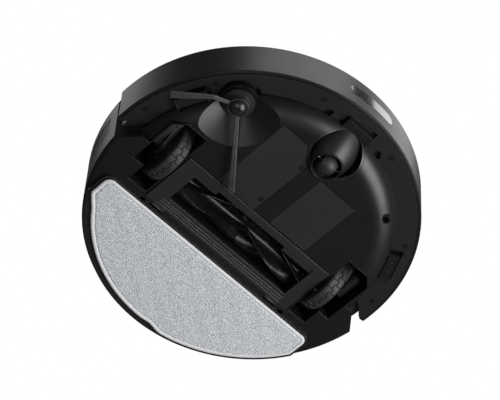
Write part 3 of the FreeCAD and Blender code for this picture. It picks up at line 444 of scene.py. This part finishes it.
def hood_ring(share, radius, height, inset):
    """Circle whose centre moves from the mouth, at share 0, to the swivel, at share 1. No point of it
    is further from the swivel than the cup allows; below the cup's edge it may reach out more."""
    angle = np.linspace(0, 2 * np.pi, 96, endpoint=False)
    way = (1 - share) * (MOUTH - SWIVEL) + radius * np.stack([np.cos(angle), np.sin(angle)], axis=1)
    reach = np.linalg.norm(way, axis=1, keepdims=True)
    limit = CUP_REACH + FREE_REACH * np.clip((FREE_BELOW - height) / FREE_FADE, 0, 1) - inset
    flat = SWIVEL + way * np.minimum(1, limit / reach)
    return np.column_stack([flat, np.full(len(angle), height)])


def hood_skin():
    """From the closed top of the root down the outside, round the lip, and up the bore to its roof."""
    rings = [hood_ring(1, ROOT_R - 0.0006, ROOT_Z + 0.0018, 0), hood_ring(1, ROOT_R, ROOT_Z + 0.0012, 0)]
    for share in np.linspace(1, 0, 22):
        radius = MOUTH_R + (ROOT_R - MOUTH_R) * share + HOOD_BULGE * math.sin(math.pi * share)
        rings.append(hood_ring(share, radius, MOUTH_Z + (ROOT_Z - MOUTH_Z) * share, 0))
    for radius, height in HOOD_LIP:
        rings.append(hood_ring(0, radius, height, HOOD_WALL))
    return skin(np.array(rings))


STEM = ((0.0002, 0.0262), (0.0078, 0.0262), (0.007, 0.0275), (0.004, 0.0285), (0.004, 0.0462),
        (0.0055, 0.0464), (0.0055, 0.0475), (0.0038, 0.0489), (0.0002, 0.049))
build("caster_hood_shell", [hood_skin(), turned(STEM, SWIVEL[0], SWIVEL[1], 32)], caster_gloss,
      "caster_fork", "dark_gloss", "caster_hood")

# ---- drive wheels: rubber tyre with staggered tread blocks on a moulded hub ------------------------
# The tread is two rows of blocks, half a block apart, with a zigzag groove between them.
TREAD_BLOCKS = 22
GROOVE_DEPTH, GROOVE_HALF = 0.0013, 0.00036
GROOVE_SLOPE = 0.00012
ZIGZAG = 0.0009
TYRE_R = 0.034
SIDE_R = np.array([0.0325, 0.0316, 0.0308, 0.0302, 0.0296, 0.0288, 0.0278, 0.0265]) / TYRE_R
SIDE_IN = np.array([0.0, 0.0002, 0.0007, 0.0003, 0.0003, 0.0005, 0.0009, 0.0014])


def tyre(node):
    """The section, a crowned tread with rounded shoulders and bulged sides, is carried round the axle.
    The tread's radius drops by the groove depth near the zigzag line and the block ends."""
    low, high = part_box(node)
    outer, middle_x = (high.z - low.z) / 2, (low.x + high.x) / 2
    centre_y, centre_z, half = (low.y + high.y) / 2, (low.z + high.z) / 2, (high.x - low.x) / 2
    near_end = np.array([0, 0.02, 0.04, 0.065, 0.1])
    share = np.unique(np.concatenate([near_end, np.linspace(0.1, 0.4, 4), 0.5 - near_end,
                                      0.5 + near_end, np.linspace(0.6, 0.9, 4), 1 - near_end[1:]]))
    angle = ((np.arange(TREAD_BLOCKS)[:, None] + share[None, :]) / TREAD_BLOCKS).ravel() * 2 * np.pi
    share = np.tile(share, TREAD_BLOCKS)
    fine = np.linspace(-1.6, 1.6, 27) * ZIGZAG
    tread_x = np.unique(np.concatenate([np.linspace(-half, -2 * ZIGZAG, 12), fine,
                                        np.linspace(2 * ZIGZAG, half, 12)]))
    zigzag = np.where(share < 0.5, ZIGZAG, -ZIGZAG)[:, None]
    pitch = 2 * np.pi * outer / TREAD_BLOCKS
    end_left = np.minimum(share, 1 - share)[:, None] * pitch
    end_right = np.abs(share - 0.5)[:, None] * pitch
    left = tread_x[None, :] < zigzag
    gap = np.minimum(np.abs(tread_x[None, :] - zigzag), np.where(left, end_left, end_right))
    groove = np.clip((GROOVE_HALF - gap) / GROOVE_SLOPE + 1, 0, 1)
    shoulder = 0.0016 * np.abs(tread_x / half) ** 8 + 0.0003 * (tread_x / half) ** 2
    tread_r = outer - shoulder[None, :] - GROOVE_DEPTH * groove
    side_r = SIDE_R * outer
    count = len(angle)
    x = np.concatenate([np.tile(tread_x, (count, 1)), np.tile(half - SIDE_IN, (count, 1)),
                        np.tile((SIDE_IN - half)[::-1], (count, 1))], axis=1) + middle_x
    r = np.concatenate([tread_r, np.tile(side_r, (count, 1)), np.tile(side_r[::-1], (count, 1))], axis=1)
    points = np.stack([x, centre_y + r * np.cos(angle)[:, None], centre_z + r * np.sin(angle)[:, None]],
                      axis=-1)
    return skin(points, rows_close=True)


tyre_rubber = rubber("tyre_rubber", (0.014, 0.014, 0.0145), 0.55)
hub_plastic = moulded("hub_plastic", (0.02, 0.02, 0.021), 0.4)
motor_steel = metal("motor_steel", (0.3, 0.3, 0.31), 0.4, scratches=20.0)
for side in ("left", "right"):
    build("treaded_tyre_" + side, [tyre("wheel_tyre_" + side)], tyre_rubber, side + "_wheel",
          "tyre_rubber", "wheel_tyre_" + side, crease=math.radians(28))
    dress(hub_plastic, "wheel_hub_" + side)
dress(moulded("gear_motor_cover", (0.03, 0.03, 0.031), 0.34), "wheel_motor_left", "wheel_motor_right")
dress(motor_steel, "brush_motor", "side_brush_motor", "fan_motor")

# ---- wheel springs: six turns of steel wire, one fixed coil on each side ---------------------------
# Each stands between the swing arm's pad and the roof of the wheel housing. On the machine it shortens as
# the wheel rises, to about a third of its length at the top of the travel; here it rides on the chassis at
# full length.
SPRING_TURNS, WIRE_RADIUS = 6, 0.0005
END_TURN, END_RISE = 0.08, 0.1


def coil(low, high):
    """Wire of a round section along a helix; its first and last half turns lie almost flat."""
    middle = (low + high) / 2
    radius = (high.x - low.x) / 2 - WIRE_RADIUS
    turn = np.linspace(0, 1, 48 * SPRING_TURNS)
    angle = turn * 2 * np.pi * SPRING_TURNS
    rise = (np.clip((turn - END_TURN) / (1 - 2 * END_TURN), 0, 1) * (1 - END_RISE)
            + turn * END_RISE)
    height = low.z + WIRE_RADIUS + rise * (high.z - low.z - 2 * WIRE_RADIUS)
    line = np.stack([middle.x + radius * np.cos(angle), middle.y + radius * np.sin(angle), height], axis=1)
    outward = np.stack([np.cos(angle), np.sin(angle), 0 * angle], axis=1)
    around = np.linspace(0, 2 * np.pi, 10, endpoint=False)
    up = np.array([0, 0, 1.0])
    wire = outward[:, None] * np.cos(around)[None, :, None] + up * np.sin(around)[None, :, None]
    return skin(line[:, None] + WIRE_RADIUS * wire)


for side in ("left", "right"):
    spring_low, spring_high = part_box("wheel_spring_" + side)
    spring = build("coil_spring_" + side, [coil(spring_low, spring_high)], steel, "chassis", "steel",
                   "wheel_spring_" + side)
    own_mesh(spring)

# ---- main brush: five broad twisted rubber blades, in two halves that meet in a V ------------------
# The blades are glossy soft rubber, thick at the core and rounded at the tip, and lean a little.
core_low, core_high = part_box("main_brush_core")
brush_y, brush_z = (core_low.y + core_high.y) / 2, (core_low.z + core_high.z) / 2
blades_low, blades_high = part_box("main_brush_blades")
BLADES = 5
BLADE_START, BLADE_TWIST, BLADE_LEAN = math.radians(20), math.radians(95), math.radians(9)
BLADE_ROOT, BLADE_TIP = 0.0058, 0.0185
BLADE_MIDDLE, BLADE_GAP = 0.002, 0.0004


def blade(start, x0, x1):
    """The section stands on the core at an angle that turns evenly from x0 to x1. Its two faces are
    half its thickness either side of a middle line that leans with the square of the radius."""
    share = np.linspace(0, 1, 64)
    along = x0 + (x1 - x0) * share
    up = np.linspace(0, 1, 12)
    thick = 0.0012 - 0.0004 * up
    thick[-3:] *= (0.94, 0.75, 0.32)
    face = BLADE_ROOT + (BLADE_TIP - BLADE_ROOT) * up
    radius = np.concatenate([face, face[::-1]])
    off = np.concatenate([thick, -thick[::-1]])
    lean = BLADE_LEAN * np.concatenate([up, up[::-1]]) ** 2
    angle = start + BLADE_TWIST * share[:, None] + lean[None, :]
    wave = 1 + 0.012 * np.sin(share * 40)[:, None]
    out, flat = radius[None, :] * np.minimum(wave, 1), off[None, :]
    y = brush_y + out * np.cos(angle) - flat * np.sin(angle)
    z = brush_z + out * np.sin(angle) + flat * np.cos(angle)
    return skin(np.stack([np.broadcast_to(along[:, None], y.shape), y, z], axis=-1))


blade_skins = []
for number in range(BLADES):
    for end in (blades_low.x, blades_high.x):
        begin = BLADE_MIDDLE + math.copysign(BLADE_GAP, end)
        blade_skins.append(blade(BLADE_START + number * 2 * math.pi / BLADES, begin, end))
blade_rubber = polished("blade_rubber", (0.004, 0.004, 0.0044), 0.24, coat=0.0, specular=0.2)
build("twisted_blades", blade_skins, blade_rubber, "main_brush", "brush_rubber", "main_brush_blades")
dress(polished("core_gloss", (0.005, 0.005, 0.0055), 0.3, coat=0.0, specular=0.3), "main_brush_core")

# ---- brush frame: the lift-off grille over the brush, and its two latches --------------------------
# The grille is stiff ABS, a little lighter than the pan, with edges painted pale: a painted highlight along
# them, with some rub wear.
frame_grey = moulded("frame_grey", (0.0165, 0.0165, 0.017), 0.4, rub_and_glint_gain=4.0, rounding=0.0008)
dress(frame_grey, "brush_frame", "frame_latches")

# ---- drives: gears, pulleys and bushes of pale acetal ----------------------------------------------
# They work hidden inside the gearbox, the brush housing and the fan housing.
gear_white = moulded("gear_white", (0.62, 0.61, 0.57), 0.36, rub_and_glint_gain=1.1)
dress(gear_white, "side_brush_gear", "side_brush_pinion", "brush_pulley", "motor_pulley",
      "main_brush_bushes", "fan_impeller")


# ---- battery, main board and charging contacts -----------------------------------------------------
# The cells sit in a blue shrink sleeve. The board is green with bright tracks and black parts.
def circuit_board(name):
    """Green solder mask with tracks: thin lines where a coarse noise crosses its middle value."""
    paint = Paint(bpy.data.materials.new(name))
    place = paint.node("ShaderNodeTexCoord", output="Object")
    field = paint.noise(place, 160.0)
    distance = paint.node("ShaderNodeMath", {"operation": "ABSOLUTE"}, {0: field - 0.5})
    track = paint.node("ShaderNodeMath", {"operation": "LESS_THAN"}, {0: distance, 1: 0.012})
    surface = paint.node("ShaderNodeBsdfPrincipled", None, {
        "Base Color": paint.mix(track, [0.012, 0.09, 0.035, 1], [0.05, 0.26, 0.1, 1]),
        "Roughness": 0.35 + track * 0.1,
        "Coat Weight": 0.3})
    paint.node("ShaderNodeOutputMaterial", None, {"Surface": surface})
    return paint.holder


dress(circuit_board("board_green"), "main_board")
dress(polished("shrink_sleeve", (0.02, 0.07, 0.25), 0.28, coat=0.3), "battery_pack")
dress(metal("contact_plating", (0.8, 0.72, 0.5), 0.2), "charging_contacts")

# ---- top buttons, rear tank with its lid, filter and release button --------------------------------
# The tank is smoked polycarbonate, almost black. Its filter is pleated paper in the dust room's wall.
button_grey = moulded("button_grey", (0.03, 0.03, 0.031), 0.32)
tank_black = moulded("tank_black", (0.009, 0.009, 0.0095), 0.33, rounding=0.0006, grain=0.00001)
dress(button_grey, "power_button", "home_button", "tank_release")
dress(tank_black, "dust_tank", "tank_lid")
paper = Paint(bpy.data.materials.new("filter_paper"))
paper_place = paper.node("ShaderNodeTexCoord", output="Object")
pleats = paper.node("ShaderNodeTexWave", {"bands_direction": "Y"}, {"Vector": paper_place, "Scale": 90.0})
fibres = paper.noise(paper_place, 700.0, 4.0)
paper_relief = paper.node("ShaderNodeBump", None, {
    "Height": pleats + fibres * 0.1, "Distance": 0.001, "Strength": 0.8})
paper_look = paper.node("ShaderNodeBsdfPrincipled", None, {
    "Base Color": paper.mix(fibres, [0.62, 0.61, 0.56, 1], [0.82, 0.81, 0.77, 1]),
    "Roughness": 0.85 + fibres * 0.1,
    "Normal": paper_relief})
paper.node("ShaderNodeOutputMaterial", None, {"Surface": paper_look})
dress(paper.holder, "dust_filter")

# ---- mop: carrier plate, half-moon microfibre pad and its bound edge -------------------------------
# The pad is knitted microfibre with a heathered grey face, 2.8 mm thick, held flat on the plate by
# hook tape. A white tape is folded over its edge and sewn down, and pulls the edge in a little.
plate_black = moulded("plate_black", (0.012, 0.012, 0.0125), 0.42, rounding=0.0006)
dress(plate_black, "mop_plate")

pad_low, pad_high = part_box("mop_pad")
bumper_low, bumper_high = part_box("bumper_shell")
AXIS_Y = bumper_low.y + (bumper_high.x - bumper_low.x) / 2
PAD_CORNER = 0.008
PAD_STEP = 0.0035
STEP_START, STEP_END = math.radians(79), math.radians(86)
TAPE_HALF_WIDTH, TAPE_SEAM = 0.0021, 0.0045
TAPE_POINTS, TAPE_STITCHES = 900, 225
CLOTH_POINTS, CLOTH_INSET, CLOTH_DIP = 560, 0.006, 0.0005
# Rings round the cloth's edge, from the lower face to the upper one: (way in from the outline, height).
CLOTH_EDGE = ((0.0056, 0.0003), (0.005, 0.0004), (TAPE_SEAM, CLOTH_DIP + 0.0004),
              (0.0034, CLOTH_DIP + 0.0003), (0.0022, 0.0009), (0.0018, 0.0014), (0.002, 0.002),
              (0.0034, 0.0026), (CLOTH_INSET, 0.0028))


def half_moon(count):
    """Evenly spaced points of the pad's outline: a straight front edge with rounded corners, two short
    straight sides, and an arc about the machine's axis. The arc's left part is set in by a smooth step,
    deepest just past it. Goes anticlockwise seen from above."""
    half, front, radius = pad_high.x, pad_low.y, pad_high.y - AXIS_Y
    side_top = math.sqrt(radius ** 2 - half ** 2) + AXIS_Y
    quarter = np.linspace(-np.pi / 2, 0, 13)
    corner = np.stack([half - PAD_CORNER + PAD_CORNER * np.cos(quarter),
                       front + PAD_CORNER + PAD_CORNER * np.sin(quarter)], axis=1)
    start = math.atan2(side_top - AXIS_Y, half)
    sweep = np.linspace(start, np.pi - start, 180)
    past = np.clip((sweep - STEP_START) / (STEP_END - STEP_START), 0, 1)
    step = past ** 2 * (3 - 2 * past) * (1 + 0.3 * np.exp(-((sweep - STEP_END) / 0.05) ** 2))
    inset = PAD_STEP * step * np.clip((np.pi - start - sweep) / 0.12, 0, 1)
    arc = np.stack([(radius - inset) * np.cos(sweep), AXIS_Y + (radius - inset) * np.sin(sweep)], axis=1)
    mirrored = corner[::-1] * (-1, 1)
    outline = np.vstack([corner, arc, mirrored, corner[:1]])
    length = np.concatenate([[0], np.cumsum(np.linalg.norm(np.diff(outline, axis=0), axis=1))])
    even = np.linspace(0, length[-1], count, endpoint=False)
    return np.stack([np.interp(even, length, outline[:, 0]), np.interp(even, length, outline[:, 1])], axis=1)


def inward(outline):
    """Unit normals of a closed anticlockwise outline, pointing into it."""
    along = np.roll(outline, -1, axis=0) - np.roll(outline, 1, axis=0)
    along /= np.linalg.norm(along, axis=1, keepdims=True)
    return np.stack([-along[:, 1], along[:, 0]], axis=1)


def pad_skin():
    """Rings from the middle of the lower face to the edge and back over the upper face. The lower
    face is gently uneven, and it dips to the seam where the tape is sewn."""
    outline = half_moon(CLOTH_POINTS)
    normal = inward(outline)
    middle = np.array([0.0, (pad_low.y + pad_high.y) / 2])
    seam_line = outline + normal * CLOTH_INSET
    rings = []
    for share in np.linspace(0.04, 1, 34):
        flat = middle + (seam_line - middle) * share
        uneven = 0.00022 * np.sin(flat[:, 0] * 190 + 0.7) * np.cos(flat[:, 1] * 260) * min(1, 4 - 4 * share)
        rings.append(np.column_stack([flat, pad_low.z + 0.00025 + uneven]))
    for inset, height in CLOTH_EDGE:
        rings.append(np.column_stack([outline + normal * inset,
                                      np.full(len(outline), pad_low.z + height)]))
    for share in np.linspace(0.9, 0.04, 6):
        flat = middle + (seam_line - middle) * share
        rings.append(np.column_stack([flat, np.full(len(flat), pad_high.z)]))
    return skin(np.array(rings))


def tape_skin():
    """Folded tape: an oval section round the pad's edge, with a slight pucker between its stitches."""
    outline = half_moon(TAPE_POINTS)
    normal = inward(outline)
    around = np.linspace(0, 2 * np.pi, 16, endpoint=False)
    pucker = 1 + 0.05 * np.sin(np.arange(TAPE_POINTS) / TAPE_POINTS * 2 * np.pi * TAPE_STITCHES)
    height = (pad_high.z - pad_low.z) / 2
    centre = outline + normal * TAPE_HALF_WIDTH
    wide = TAPE_HALF_WIDTH * np.cos(around)
    high = height * np.sin(around)
    flat = centre[:, None] + normal[:, None] * wide[None, :, None]
    level = pad_low.z + height + np.minimum(high[None, :] * pucker[:, None], height)
    level = np.maximum(level, pad_low.z)
    return skin(np.concatenate([flat, level[..., None]], axis=-1), rows_close=True)


def knitted(name, dark, light, scale, heather=0.5):
    """Knitted cloth: rows of small loops, threads of two tones mixed by a fine noise, and a soft
    sheen of loose fibres. Heather is the share of the coarser noise in the mix."""
    paint = Paint(bpy.data.materials.new(name))
    place = paint.node("ShaderNodeTexCoord", output="Object")
    threads = paint.noise(place, scale, 1.0)
    melange = paint.noise(place, scale * 0.28, 3.0)
    rows = paint.node("ShaderNodeTexWave", {"bands_direction": "Y"}, {
        "Vector": place, "Scale": scale * 0.22, "Distortion": 1.5, "Detail Scale": 3.0})
    loops = paint.node("ShaderNodeTexVoronoi", None, {"Vector": place, "Scale": scale * 0.85})
    tone = paint.node("ShaderNodeMapRange", None, {
        "Value": threads * (1 - heather) + melange * heather, "From Min": 0.4, "From Max": 0.6})
    relief = paint.node("ShaderNodeBump", None, {
        "Height": loops + rows * 0.35, "Distance": 0.0004, "Strength": 0.85})
    surface = paint.node("ShaderNodeBsdfPrincipled", None, {
        "Base Color": paint.mix(tone, [*dark, 1], [*light, 1]),
        "Roughness": 0.86 + (threads - 0.5) * 0.1,
        "Specular IOR Level": 0.2,
        "Sheen Weight": 0.25,
        "Sheen Roughness": 0.5,
        "Normal": relief})
    paint.node("ShaderNodeOutputMaterial", None, {"Surface": surface})
    return paint.holder


cloth_grey = knitted("cloth_grey", (0.4, 0.42, 0.46), (0.86, 0.875, 0.9), 800.0, heather=0.2)
tape_white = knitted("tape_white", (0.74, 0.75, 0.77), (0.86, 0.87, 0.88), 1400.0)
pad = build("microfibre_pad", [pad_skin()], cloth_grey, "mop", "mop_cloth", "mop_pad",
            crease=math.radians(80))
build("pad_edge_tape", [tape_skin()], tape_white, "mop", "mop_cloth", crease=math.radians(80))
